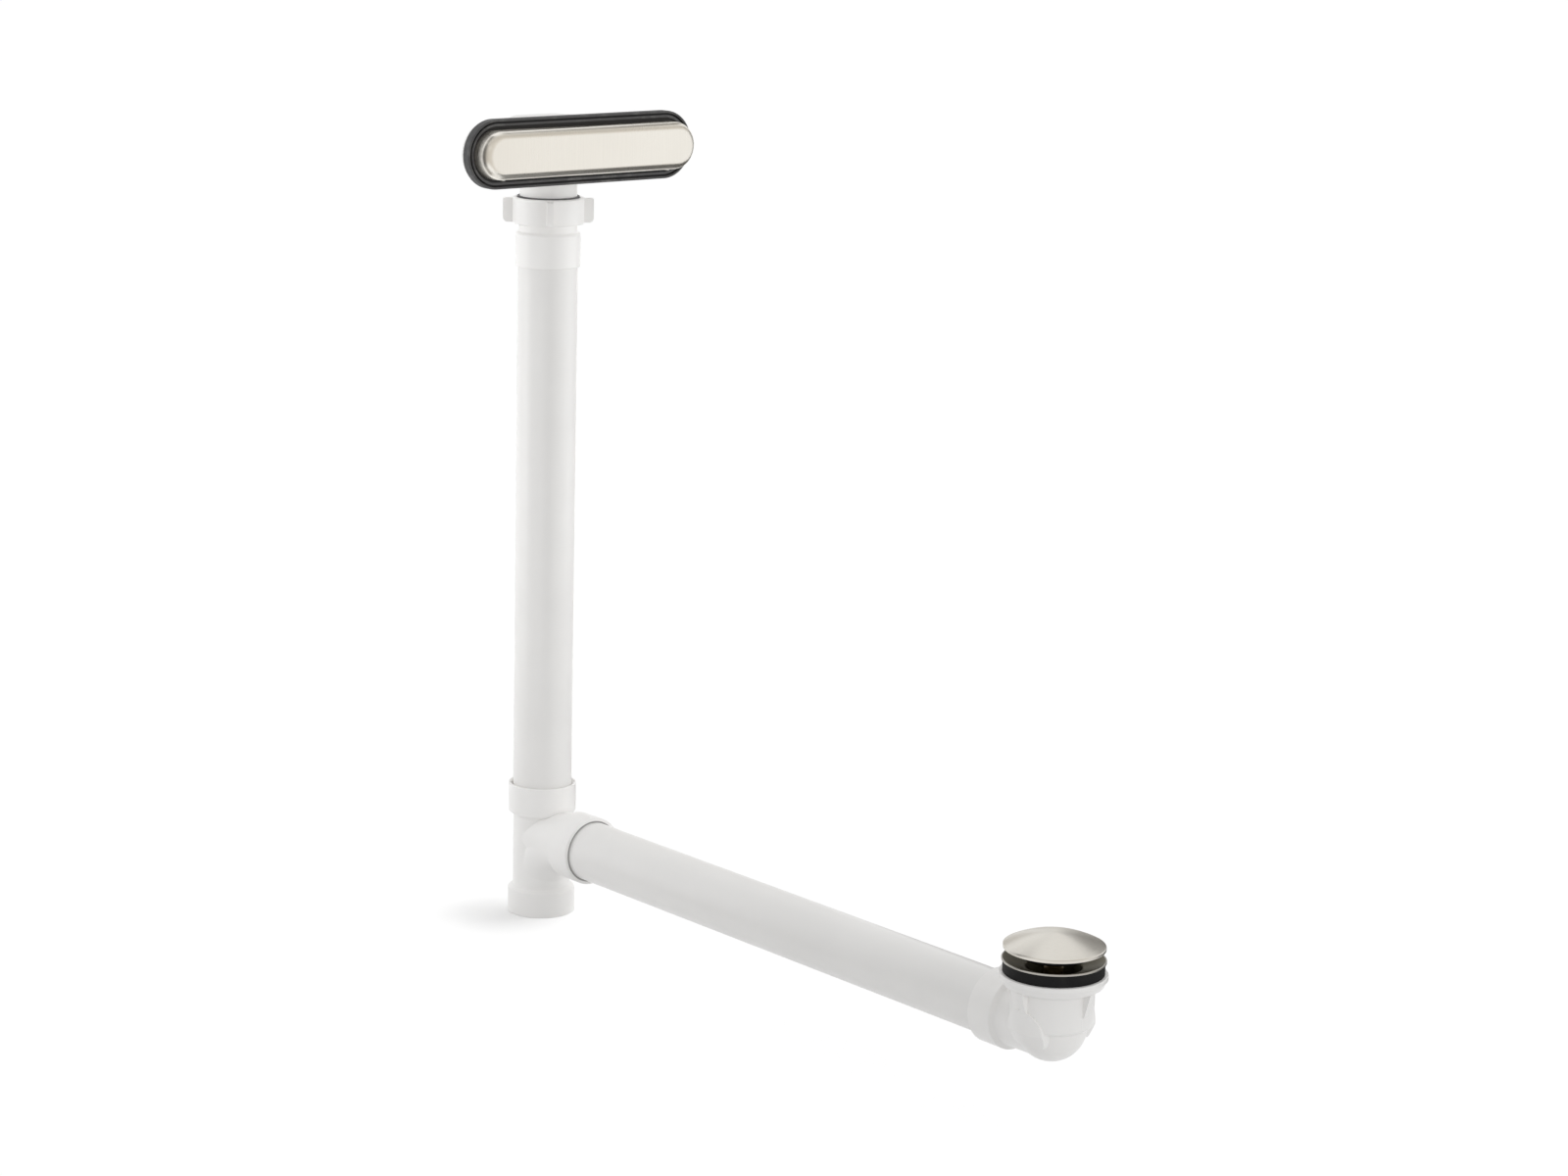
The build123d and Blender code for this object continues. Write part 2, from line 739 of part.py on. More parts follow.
# Return spring, one coil of round wire
spring_r = (spring_od - spring_wire) / 2
spring_rise = spring_length - spring_wire
with BuildPart() as return_spring:
    with BuildLine(drain_top_plane.offset(spring_foot + spring_wire / 2)) as coil:
        Helix(pitch=spring_rise / spring_turns, height=spring_rise, radius=spring_r)
    with BuildSketch(Plane(origin=coil.line @ 0, z_dir=coil.line % 0)):
        Circle(spring_wire / 2)
    sweep(is_frenet=True)
save(return_spring.part, "return_spring")

# Latch rotor: a toothed ring that turns on the plunger's pilot
with BuildPart() as latch_rotor:
    with BuildSketch(drain_top_plane.offset(spring_top)):
        Circle(stem_r)
        Circle(pilot_od / 2 + rotor_gap, mode=Mode.SUBTRACT)
    extrude(amount=rotor_height)
    with BuildSketch(drain_top_plane.offset(spring_top)):
        with PolarLocations(stem_r, rotor_teeth):
            Rectangle(rotor_slot_length, rotor_slot_width)
    extrude(amount=rotor_tooth_depth, mode=Mode.SUBTRACT)
save(latch_rotor.part, "latch_rotor")

# Plunger: pilot, stem, seal carrier and the stud that the cap screws on to
plunger_corners = [
    (0, spring_top + rotor_tooth_depth),
    (pilot_od / 2, spring_top + rotor_tooth_depth),
    (pilot_od / 2, rotor_top + rotor_gap),
    (stem_r, rotor_top + rotor_gap),
    (stem_r, carrier_foot),
    (carrier_od / 2 - carrier_groove, carrier_foot),
    (carrier_od / 2 - carrier_groove, carrier_top - carrier_ledge),
    (carrier_od / 2, carrier_top - carrier_ledge),
    (carrier_od / 2, carrier_top),
    (stud_od / 2, carrier_top),
    (stud_od / 2, carrier_top + cap_stud_length),
    (0, carrier_top + cap_stud_length),
]
with BuildPart() as stopper_plunger:
    with BuildSketch(drain_plane):
        with BuildLine():
            Polyline(*plunger_corners, close=True)
        make_face()
    revolve(axis=drain_axis)
save(stopper_plunger.part, "stopper_plunger")

# Stopper seal: a rubber ring in the carrier's groove, bevelled to meet the dish
seal_bore_r = carrier_od / 2 - carrier_groove + seal_gap
seal_top = carrier_top - carrier_ledge
seal_land_r = seal_od / 2 - seal_bevel
seal_seat = lip_top - dish_drop + (seal_land_r - throat_r) * dish_slope
seal_foot = seal_seat + stopper_travel + seal_seat_gap
with BuildPart() as stopper_seal:
    with BuildSketch(drain_plane):
        with BuildLine():
            Polyline(
                (seal_bore_r, seal_foot),
                (seal_land_r, seal_foot),
                (seal_od / 2, seal_foot + seal_bevel),
                (seal_od / 2, seal_top),
                (seal_bore_r, seal_top),
                close=True,
            )
        make_face()
    revolve(axis=drain_axis)
save(stopper_seal.part, "stopper_seal")

# Stopper cap: a domed shell with a threaded boss under its middle
cap_foot = cap_rim - cap_edge
cap_top = cap_rim + cap_rise
dome_r = (cap_r**2 + cap_rise**2) / (2 * cap_rise)
dome_angle = degrees(asin(cap_r / dome_r))
hollow_r = cap_r - cap_rim_land
hollow_top = cap_top - cap_wall
hollow_rise = hollow_top - cap_foot
hollow_dome_r = (hollow_r**2 + hollow_rise**2) / (2 * hollow_rise)
hollow_angle = degrees(asin(hollow_r / hollow_dome_r))
with BuildPart() as stopper_cap:
    with BuildSketch(drain_plane):
        with BuildLine():
            CenterArc((0, cap_top - dome_r), dome_r, 90 - dome_angle, dome_angle)
            Line((0, cap_top), (0, hollow_top))
            CenterArc((0, hollow_top - hollow_dome_r), hollow_dome_r, 90 - hollow_angle, hollow_angle)
            Polyline((hollow_r, cap_foot), (cap_r - cap_edge / 2, cap_foot), (cap_r, cap_rim))
        make_face()
    revolve(axis=drain_axis)
    with BuildSketch(drain_top_plane.offset(carrier_top)):
        Circle(cap_boss_od / 2)
    extrude(amount=hollow_top - carrier_top)
    with BuildSketch(drain_top_plane.offset(carrier_top)):
        Circle(stud_od / 2 + stud_gap)
    extrude(amount=cap_stud_length + stud_gap, mode=Mode.SUBTRACT)
save(stopper_cap.part, "stopper_cap")
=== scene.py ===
import json
import math

import bpy
import numpy as np
from mathutils import Matrix, Vector


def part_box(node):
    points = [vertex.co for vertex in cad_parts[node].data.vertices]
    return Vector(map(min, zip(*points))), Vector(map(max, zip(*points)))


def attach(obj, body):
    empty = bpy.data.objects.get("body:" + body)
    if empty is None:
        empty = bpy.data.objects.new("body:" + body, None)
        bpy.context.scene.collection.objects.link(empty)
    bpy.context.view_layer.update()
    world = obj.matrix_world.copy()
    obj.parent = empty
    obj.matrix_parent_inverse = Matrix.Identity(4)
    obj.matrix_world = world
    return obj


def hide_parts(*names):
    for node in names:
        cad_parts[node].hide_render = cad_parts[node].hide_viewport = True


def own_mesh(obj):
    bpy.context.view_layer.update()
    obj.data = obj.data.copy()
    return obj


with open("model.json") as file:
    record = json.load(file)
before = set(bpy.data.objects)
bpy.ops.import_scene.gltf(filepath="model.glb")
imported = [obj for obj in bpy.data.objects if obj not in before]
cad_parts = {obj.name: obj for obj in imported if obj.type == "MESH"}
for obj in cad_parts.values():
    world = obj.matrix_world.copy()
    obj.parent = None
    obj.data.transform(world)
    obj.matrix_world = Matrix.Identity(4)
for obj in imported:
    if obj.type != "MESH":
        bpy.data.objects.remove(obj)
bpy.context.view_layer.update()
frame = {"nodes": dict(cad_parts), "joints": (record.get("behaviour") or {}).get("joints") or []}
nodes = frame["nodes"]
print("frame loaded:", len(nodes), "nodes")


# Shader maths: a Wire is a socket that takes part in plain expressions
class Wire:
    def __init__(self, graph, socket):
        self.graph = graph
        self.socket = socket

    def maths(self, operation, *terms):
        return self.graph.node("ShaderNodeMath", {"operation": operation}, dict(enumerate(terms)))

    def __add__(self, other):
        return self.maths("ADD", self, other)

    def __sub__(self, other):
        return self.maths("SUBTRACT", self, other)

    def __rsub__(self, other):
        return self.maths("SUBTRACT", other, self)

    def __mul__(self, other):
        return self.maths("MULTIPLY", self, other)

    def __truediv__(self, other):
        return self.maths("DIVIDE", self, other)

    def __pow__(self, other):
        return self.maths("POWER", self, other)

    def __abs__(self):
        return self.maths("ABSOLUTE", self)

    __radd__ = __add__
    __rmul__ = __mul__

    def atLeast(self, limit):
        return self.maths("MAXIMUM", self, limit)

    # 0 below low, 1 above high, smooth between
    def ease(self, low, high):
        limits = {"Value": self, "From Min": low, "From Max": high}
        return self.graph.node("ShaderNodeMapRange", {"interpolation_type": "SMOOTHSTEP"}, limits)


# Distance from an axis, from the two coordinates across it
def distance(a, b):
    return (a * a + b * b) ** 0.5


def rgba(colour, factor=1.0):
    return (colour[0] * factor, colour[1] * factor, colour[2] * factor, 1.0)


class Graph:
    def __init__(self, owner):
        owner.use_nodes = True
        self.tree = owner.node_tree
        self.tree.nodes.clear()

    # any node: its type, its settings, then the values or links of its sockets
    def node(self, kind, settings, inputs, output=0):
        made = self.tree.nodes.new(kind)
        for key, value in settings.items():
            setattr(made, key, value)
        for key, value in inputs.items():
            if isinstance(value, Wire):
                self.tree.links.new(value.socket, made.inputs[key])
            else:
                made.inputs[key].default_value = value
        return Wire(self, made.outputs[output]) if made.outputs else None

    # Object coordinates from a centre, stretched by a factor on each axis
    def place(self, stretch=(1, 1, 1), centre=(0, 0, 0)):
        coords = self.node("ShaderNodeTexCoord", {}, {}, "Object")
        moved = self.node("ShaderNodeVectorMath", {"operation": "SUBTRACT"}, {0: coords, 1: centre})
        return self.node("ShaderNodeVectorMath", {"operation": "MULTIPLY"}, {0: moved, 1: stretch})

    def axes(self, vector):
        return [self.node("ShaderNodeSeparateXYZ", {}, {0: vector}, axis) for axis in "XYZ"]

    # how far from a vertical axis and which way round it, as a seamless vector for noise
    def rings(self, centre, around):
        x, y, z = self.axes(self.place(centre=centre))
        radius = distance(x, y)
        safe = radius + 1e-6  # never nothing, to divide by
        parts = {0: radius + z, 1: x / safe * around, 2: y / safe * around}
        return self.node("ShaderNodeCombineXYZ", {}, parts)

    def noise(self, vector, scale, detail, roughness=0.55):
        inputs = {"Vector": vector, "Scale": scale, "Detail": detail, "Roughness": roughness}
        return self.node("ShaderNodeTexNoise", {}, inputs)

    # the Mix node's colours are its sockets 6 and 7, and their mixture is its output 2
    def blend(self, factor, first, second):
        return self.node("ShaderNodeMix", {"data_type": "RGBA"}, {0: factor, 6: first, 7: second}, 2)

    # a colour that goes from its darker tone to its lighter one
    def mottle(self, factor, colour, tones, shade=1.0):
        return self.blend(factor, rgba(colour, tones[0] * shade), rgba(colour, tones[1] * shade))

    def clamp(self, value):
        return self.node("ShaderNodeClamp", {}, {0: value})

    def bump(self, height, depth):
        return self.node("ShaderNodeBump", {}, {"Height": height, "Distance": depth})


def makeMaterial(name, build):
    material = bpy.data.materials.new(name)
    graph = Graph(material)
    shader = graph.node("ShaderNodeBsdfPrincipled", {}, build(graph))
    graph.node("ShaderNodeOutputMaterial", {}, {"Surface": shader})
    return material


# The part of a noise's range that most of its values lie in
noiseSpread = (0.3, 0.7)

# Extruded white pipe: fine draw lines along its axis, and a slightly uneven tone
pipeLook = {
    "colour": (0.887, 0.878, 0.863),
    "tones": (0.985, 1.01),
    "cloud": 16.0,
    "drawLines": 900.0,
    "lineStretch": 0.02,
    "lineDepth": 0.00003,
    "roughness": {"low": 0.28, "lines": 0.1},
}


def whitePipe(name, along):
    look = pipeLook
    rough = look["roughness"]

    def build(graph):
        stretch = [1.0, 1.0, 1.0]
        stretch["XYZ".index(along)] = look["lineStretch"]
        lines = graph.noise(graph.place(stretch), look["drawLines"], detail=2.0)
        cloud = graph.noise(graph.place(), look["cloud"], detail=3.0)
        return {
            "Base Color": graph.mottle(cloud.ease(*noiseSpread), look["colour"], look["tones"]),
            "Roughness": lines * rough["lines"] + rough["low"],
            "Normal": graph.bump(lines, look["lineDepth"]),
        }

    return makeMaterial(name, build)


# Moulded white fittings: a faint skin texture, flow tones and the mould's parting line
mouldLook = {
    "colour": (0.922, 0.913, 0.898),
    "tones": (0.985, 1.01),
    # the tee's factor is painted light: a lighter copy of the same moulded white
    "whiter": {"mouldedWhite": 1.0, "slipWhite": 1.035, "teeWhite": 1.03},
    # painted shade for the gap round the cross pipe at the tee's mouth
    "joint": (0.36, 0.356, 0.35),
    "flow": 26.0,
    "flowStretch": (1, 1, 0.35),
    "skin": 650.0,
    "relief": 0.00003,
    "partingHalfWidth": 0.0002,
    "partingHeight": 1.5,
    "roughness": {"low": 0.24, "flow": 0.12},
}


def whiteMoulding(name, mouth=None):
    look = mouldLook
    rough = look["roughness"]
    whiter = look["whiter"][name]

    def build(graph):
        skin = graph.noise(graph.place(), look["skin"], detail=2.0)
        flow = graph.noise(graph.place(look["flowStretch"]), look["flow"], detail=4.0)
        aside = abs(graph.axes(graph.place())[0])
        parting = 1 - aside.ease(look["partingHalfWidth"], look["partingHalfWidth"] * 2)
        colour = graph.mottle(flow.ease(*noiseSpread), look["colour"], look["tones"], whiter)
        # where the cross pipe enters the tee, the shade in the gap round it is painted as a dark line
        if mouth:
            x, y, z = graph.axes(graph.place(centre=mouth["centre"]))
            joint = (1 - distance(x, z).ease(*mouth["radius"])) * (1 - y.ease(*mouth["depth"]))
            colour = graph.blend(joint, colour, rgba(look["joint"]))
        return {
            "Base Color": colour,
            "Roughness": flow * rough["flow"] + rough["low"],
            "Normal": graph.bump(skin + parting * look["partingHeight"], look["relief"]),
        }

    return makeMaterial(name, build)


# Brushed nickel: hair lines that run down the cover and round the cap
nickelLook = {
    # the cap's and the drain's nickel are darker copies of the cover's, as painted shade
    "coverNickel": {"shade": 1.0, "satin": 0.0},
    "capNickel": {"shade": 0.82, "satin": 0.07},
    "drainNickel": {"shade": 0.5, "satin": 0.0},
    "colour": (0.905, 0.874, 0.806),
    "tones": (0.97, 1.03),
    "cloud": 30.0,
    "hairs": 2600.0,
    "hairStretch": (1, 1, 0.01),
    "hairAround": 0.003,
    "hairSpread": (0.25, 0.75),
    "hairDepth": 0.000004,
    "roughness": {"low": 0.21, "hairs": 0.12, "cloud": 0.05},
    "grain": 0.75,
    "turnedGrain": 0.25,
    "underside": {"colour": (0.018, 0.015, 0.011), "roughness": 0.6},
    "dish": {"colour": (0.165, 0.149, 0.102), "roughness": 0.45, "radius": 0.0368, "edge": 0.0006},
}


def brushedNickel(name, centre, turned=False, platedMark=None, dished=False):
    look = nickelLook
    rough = look["roughness"]
    plate = look[name]

    def build(graph):
        if turned:
            vector = graph.rings(centre, look["hairAround"])
        else:
            vector = graph.place(look["hairStretch"], centre)
        hairs = graph.noise(vector, look["hairs"], detail=3.0, roughness=0.6)
        cloud = graph.noise(graph.place(), look["cloud"], detail=3.0)
        streaks = hairs.ease(*look["hairSpread"])
        colour = graph.mottle(streaks, look["colour"], look["tones"], plate["shade"])
        roughness = hairs * rough["hairs"] + cloud * rough["cloud"] + (rough["low"] + plate["satin"])
        # under the cap the unplated metal is dark, deepened by painted shade, and the strainer's hollow under
        # the cap is painted a dark olive as shade
        inner = None
        if platedMark:
            inner = look["underside"]
            outside = graph.node("ShaderNodeAttribute", {"attribute_name": platedMark}, {}, "Fac")
        if dished:
            inner = look["dish"]
            x, y = graph.axes(graph.place(centre=centre))[:2]
            outside = distance(x, y).ease(inner["radius"] - inner["edge"], inner["radius"])
        if inner:
            colour = graph.blend(outside, rgba(inner["colour"]), colour)
            roughness = outside * (roughness - inner["roughness"]) + inner["roughness"]
        return {
            "Base Color": colour,
            "Metallic": 1.0,
            "Roughness": roughness,
            "Anisotropic": look["grain"],
            "Anisotropic Rotation": look["turnedGrain"] if turned else 0.0,
            "Normal": graph.bump(hairs, look["hairDepth"]),
        }

    return makeMaterial(name, build)


# Moulded black rubber: fine matte grain with a dusty bloom
rubberLook = {
    "gasketRubber": {"shade": 4.3, "sheen": 0.6},
    "washerRubber": {"shade": 0.5, "sheen": 0.15},
    "slipRubber": {"shade": 8.0, "sheen": 0.3},
    "colour": (0.016, 0.016, 0.0165),
    "bloom": (0.045, 0.044, 0.043),
    "bloomSpread": (0.45, 0.8),
    "dust": 60.0,
    "grain": 1500.0,
    "grainDepth": 0.00004,
    "grooveShade": 0.4,
    "roughness": {"low": 0.48, "grain": 0.15, "dust": 0.12},
}


def blackRubber(name, ring=None):
    look = rubberLook
    rough = look["roughness"]
    shade = look[name]["shade"]

    def build(graph):
        grain = graph.noise(graph.place(), look["grain"], detail=3.0)
        dust = graph.noise(graph.place(), look["dust"], detail=5.0, roughness=0.65)
        bloom = dust.ease(*look["bloomSpread"])
        colour = graph.blend(bloom, rgba(look["colour"], shade), rgba(look["bloom"], shade))
        # on a pill-shaped ring the grooves and the inner wall beside the cover are painted dark as shade, and
        # the ridges keep the bloom
        if ring:
            x, y, z = graph.axes(graph.place(centre=ring["centre"]))
            past = (abs(x) - ring["straight"]).atLeast(0.0)
            inset = ring["half"] - distance(past, z)
            groove = inset.ease(*ring["grooveStart"]) * (1 - inset.ease(*ring["grooveEnd"]))
            dark = graph.clamp(groove + inset.ease(*ring["innerWall"]))
            colour = graph.blend(dark, colour, rgba(look["colour"], look["grooveShade"]))
        return {
            "Base Color": colour,
            "Roughness": grain * rough["grain"] + dust * rough["dust"] + rough["low"],
            "Specular IOR Level": look[name]["sheen"],
            "Normal": graph.bump(grain, look["grainDepth"]),
        }

    return makeMaterial(name, build)


# Plain metals of the hidden hardware: turning marks round a vertical axis, or a rolled grain
metalLook = {
    "plainSteel": {"colour": (0.6, 0.6, 0.59), "low": 0.2},
    # the brass is dark as painted shade, where it shows in the gap under the cap
    "shadedTurnedBrass": {"colour": (0.2, 0.145, 0.075), "low": 0.3},
    "tones": (0.86, 1.06),
    "cloud": 90.0,
    "marks": 1400.0,
    "markStretch": (0.05, 1, 1),
    "markAround": 0.01,
    "markDepth": 0.00001,
    "roughness": {"marks": 0.15, "cloud": 0.08},
}


def plainMetal(name, centre=None):
    look = metalLook
    rough = look["roughness"]
    metal = look[name]

    def build(graph):
        vector = graph.rings(centre, look["markAround"]) if centre else graph.place(look["markStretch"])
        marks = graph.noise(vector, look["marks"], detail=3.0)
        cloud = graph.noise(graph.place(), look["cloud"], detail=4.0)
        return {
            "Base Color": graph.mottle(cloud.ease(*noiseSpread), metal["colour"], look["tones"]),
            "Metallic": 1.0,
            "Roughness": marks * rough["marks"] + cloud * rough["cloud"] + metal["low"],
            "Normal": graph.bump(marks, look["markDepth"]),
        }

    return makeMaterial(name, build)


# Moulded grey plastic of the latch
acetalLook = {
    "dark": (0.05, 0.05, 0.052),
    "pale": (0.07, 0.07, 0.072),
    "skin": 1600.0,
    "relief": 0.00002,
    "roughness": {"low": 0.4, "skin": 0.1},
}


def greyAcetal(name):
    look = acetalLook
    rough = look["roughness"]

    def build(graph):
        skin = graph.noise(graph.place(), look["skin"], detail=2.0)
        return {
            "Base Color": graph.blend(skin.ease(*noiseSpread), rgba(look["dark"]), rgba(look["pale"])),
            "Roughness": skin * rough["skin"] + rough["low"],
            "Normal": graph.bump(skin, look["relief"]),
        }

    return makeMaterial(name, build)


def dress(material, *names):
    for name in names:
        mesh = nodes[name].data
        mesh.materials.clear()
        mesh.materials.append(material)


def addObject(name, data):
    made = bpy.data.objects.new(name, data)
    bpy.context.scene.collection.objects.link(made)
    return made


def middle(node):
    low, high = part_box(node)
    return tuple((low + high) / 2)


creaseAngle = math.radians(35)


def smooth(mesh):
    mesh.shade_smooth()
    mesh.set_sharp_from_angle(angle=creaseAngle)


coverCentre = middle("overflow_cover")
drainCentre = middle("stopper_cap")

# Stopper cap with the full shoulder of a pressed cap, over the solid's own boss and stud.
# Its profile is turned round the drain's axis: the dome's height falls with the square of the radius,
# arcs round it into an upright edge and a foot, and a lower dome of the same kind hollows it out
capShape = {
    "lift": 0.0012,
    "shoulder": 0.0036,
    "edgeRound": 0.0012,
    "footRound": 0.0004,
    "wall": 0.0024,
    "land": 0.0014,
    "bossRadius": 0.008,
    "studRadius": 0.004,
    "studLength": 0.008,
    "domeSteps": 48,
    "edgeSteps": 9,
    "footSteps": 5,
    "hollowSteps": 32,
    "segments": 160,
    "platedMark": "plated",
}


# Points on a circle, from one angle to another in degrees
def arc(centre, radius, start, end, count):
    angle = np.radians(np.linspace(start, end, count))
    return np.column_stack((centre[0] + radius * np.cos(angle), centre[1] + radius * np.sin(angle)))


# The profile's radii and heights from the top round to the stud, with 1 for each point that is plated
def capProfile(radius, rise, studTop):
    shape = capShape
    fall = rise - shape["shoulder"]
    steep = math.atan(2 * fall / radius)
    edge = shape["edgeRound"]
    domeEnd = radius - edge * (1 - math.sin(steep))
    r = np.linspace(0, domeEnd, shape["domeSteps"])
    dome = np.column_stack((r, rise - fall * (r / radius) ** 2))
    edgeCentre = dome[-1] - edge * np.array((math.sin(steep), math.cos(steep)))
    shoulder = arc(edgeCentre, edge, 90 - math.degrees(steep), 0, shape["edgeSteps"])[1:]
    foot = shape["footRound"]
    heel = arc((radius - foot, shape["lift"] + foot), foot, 0, -90, shape["footSteps"])
    hollowRadius = radius - shape["land"]
    hollowRise = rise - shape["wall"] - shape["lift"]
    r = np.linspace(hollowRadius, shape["bossRadius"], shape["hollowSteps"])
    hollow = np.column_stack((r, shape["lift"] + hollowRise * (1 - (r / hollowRadius) ** 2)))
    bossFoot = studTop - shape["studLength"]
    boss = np.array([(shape["bossRadius"], bossFoot), (shape["studRadius"], bossFoot)])
    hole = np.array([(shape["studRadius"], studTop), (0, studTop)])
    outer = np.vstack((dome, shoulder, heel))
    inner = np.vstack((hollow, boss, hole))
    return np.vstack((outer, inner)), np.append(np.ones(len(outer)), np.zeros(len(inner)))


# Faces between each row of vertices and the next, where every row is a closed ring
def ringFaces(rows, count):
    first = np.arange(rows * count).reshape(rows, count)
    second = np.roll(first, -1, axis=1)
    quads = np.dstack((first[:-1], first[1:], second[1:], second[:-1])).reshape(-1, 4)
    return quads, first


# A ring of vertices for each profile point, and one vertex for each of its two ends on the axis
def turnedMesh(name, profile, marks, markName, centre, segments):
    angle = np.linspace(0, 2 * np.pi, segments, endpoint=False)
    radius, height = profile[1:-1, :1], profile[1:-1, 1:]
    x, y = centre[0] + radius * np.cos(angle), centre[1] + radius * np.sin(angle)
    rings = np.dstack((x, y, centre[2] + height + 0 * angle)).reshape(-1, 3)
    ends = [(centre[0], centre[1], centre[2] + profile[end, 1]) for end in (0, -1)]
    quads, first = ringFaces(len(radius), segments)
    second = np.roll(first, -1, axis=1)
    top, bottom = len(rings), len(rings) + 1
    faces = quads.tolist()
    faces += np.column_stack((np.full(segments, top), first[0], second[0])).tolist()
    faces += np.column_stack((first[-1], np.full(segments, bottom), second[-1])).tolist()
    mesh = bpy.data.meshes.new(name)
    mesh.from_pydata(np.vstack((rings, ends)).tolist(), [], faces)
    mark = mesh.attributes.new(markName, "FLOAT", "POINT")
    mark.data.foreach_set("value", np.append(np.repeat(marks[1:-1], segments), marks[[0, -1]]))
    smooth(mesh)
    return mesh


def makeCap(material):
    low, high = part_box("stopper_cap")
    foot = (drainCentre[0], drainCentre[1], low[2])
    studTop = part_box("stopper_plunger")[1][2] - low[2]
    profile, plated = capProfile((high[0] - low[0]) / 2, high[2] - low[2], studTop)
    mesh = turnedMesh("pressedCap", profile, plated, capShape["platedMark"], foot, capShape["segments"])
    mesh.materials.append(material)
    cap = addObject("pressedCap", mesh)
    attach(cap, "stopper")
    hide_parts("stopper_cap")
    print("cap turned:", len(mesh.polygons), "faces")


# Return spring. A circle of the wire's radius is carried along
# a helix: its centre goes round at the coil's radius and rises evenly, and it stands square to its way
springShape = {"turns": 5.0, "wire": 0.0008, "steps": 240, "sides": 12, "clear": 0.0002}


def makeSpring(material):
    shape = springShape
    low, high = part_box("return_spring")
    length = high[2] - low[2]
    wire = shape["wire"] / 2
    coil = (high[0] - low[0]) / 2 - wire
    rise = length - 2 * wire
    turn = np.linspace(0, shape["turns"] * 2 * np.pi, shape["steps"])
    outward = np.column_stack((np.cos(turn), np.sin(turn), 0 * turn))
    forward = np.column_stack((-coil * np.sin(turn), coil * np.cos(turn), 0 * turn + rise / turn[-1]))
    forward /= np.linalg.norm(forward, axis=1, keepdims=True)
    upward = np.cross(forward, outward)
    path = coil * outward + np.column_stack((0 * turn, 0 * turn, wire + rise * turn / turn[-1]))
    side = np.linspace(0, 2 * np.pi, shape["sides"], endpoint=False)[None, :, None]
    rings = path[:, None] + wire * (np.cos(side) * outward[:, None] + np.sin(side) * upward[:, None])
    foot = (drainCentre[0], drainCentre[1], low[2])
    quads, first = ringFaces(shape["steps"], shape["sides"])
    faces = quads[:, ::-1].tolist() + [first[0, ::-1].tolist(), first[-1].tolist()]
    mesh = bpy.data.meshes.new("coilSpring")
    mesh.from_pydata((rings + np.array(foot)).reshape(-1, 3).tolist(), [], faces)
    smooth(mesh)
    mesh.materials.append(material)
    spring = addObject("coilSpring", mesh)
    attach(spring, "waste")
    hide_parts("return_spring")
    travel = max(abs(limit) for limit in frame["joints"][0]["range_m"])
    keep = (length - travel - shape["clear"]) / length
    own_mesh(spring)
    print("spring coiled:", len(mesh.polygons), "faces")


# Shoe with a short hub, made from a copy of the solid's mesh: each point of the hub moves towards the
# shoulder by a share of the cut, which grows evenly from nothing at the shoulder to all of it at the mouth
shoeShape = {"hubLength": 0.03, "cut": 0.008}


def makeShoe(material):
    shape = shoeShape
    mesh = nodes["waste_shoe"].data.copy()
    mesh.name = "shortHubShoe"
    points = np.empty(len(mesh.vertices) * 3)
    mesh.vertices.foreach_get("co", points)
    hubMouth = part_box("waste_shoe")[1][1]
    share = np.clip((points[1::3] - hubMouth) / shape["hubLength"] + 1, 0, 1)
    points[1::3] -= shape["cut"] * share
    mesh.vertices.foreach_set("co", points)
    mesh.update()
    mesh.materials.clear()
    mesh.materials.append(material)
    shoe = addObject("shortHubShoe", mesh)
    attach(shoe, "waste")
    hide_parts("waste_shoe")
    print("shoe fitted:", len(mesh.polygons), "faces")


# Pipes and fittings
dress(whitePipe("standpipeWhite", "Z"), "standpipe")
dress(whitePipe("crossPipeWhite", "Y"), "cross_pipe")
mouldedWhite = whiteMoulding("mouldedWhite")
dress(mouldedWhite, "overflow_body")
makeShoe(mouldedWhite)
dress(whiteMoulding("slipWhite"), "slip_adapter", "slip_nut")
teeMouth = {
    "centre": (0.0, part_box("waste_tee")[0][1], middle("cross_pipe")[2]),
    "radius": (0.0252, 0.0256),
    "depth": (0.0002, 0.0012),
}
dress(whiteMoulding("teeWhite", teeMouth), "waste_tee")

# Cover, cap and drain
dress(brushedNickel("coverNickel", coverCentre), "overflow_cover")
makeCap(brushedNickel("capNickel", drainCentre, turned=True, platedMark=capShape["platedMark"]))
dress(brushedNickel("drainNickel", drainCentre, turned=True, dished=True), "strainer_flange")

# Seals
gasketLow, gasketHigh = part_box("overflow_gasket")
gasketHalf = (gasketHigh[2] - gasketLow[2]) / 2
gasketRing = {
    "centre": middle("overflow_gasket"),
    "straight": (gasketHigh[0] - gasketLow[0]) / 2 - gasketHalf,
    "half": gasketHalf,
    "grooveStart": (0.0018, 0.0022),
    "grooveEnd": (0.0032, 0.0036),
    "innerWall": (0.0052, 0.0056),
}
dress(blackRubber("gasketRubber", gasketRing), "overflow_gasket")
dress(blackRubber("washerRubber"), "shoe_washer", "stopper_seal")
dress(blackRubber("slipRubber"), "slip_washer")

# Hidden hardware
plainSteel = plainMetal("plainSteel")
dress(plainSteel, "cover_bracket", "bracket_screws", "cover_set_screws")
makeSpring(plainSteel)
shadedTurnedBrass = plainMetal("shadedTurnedBrass", drainCentre)
dress(shadedTurnedBrass, "stopper_plunger", "cartridge_barrel", "boss_inserts")
dress(greyAcetal("greyAcetal"), "latch_rotor")
print("all pieces dressed")


# Camera at the photograph's place; right and up are turned by its small roll
cameraView = {
    "place": (-1.7885, -2.346, 0.9361),
    "azimuth": -41.14,
    "elevation": 12.57,
    "roll": 1.44,
    "lens": 84.44,
    "sensor": 36.0,
    "farthest": 200.0,
}


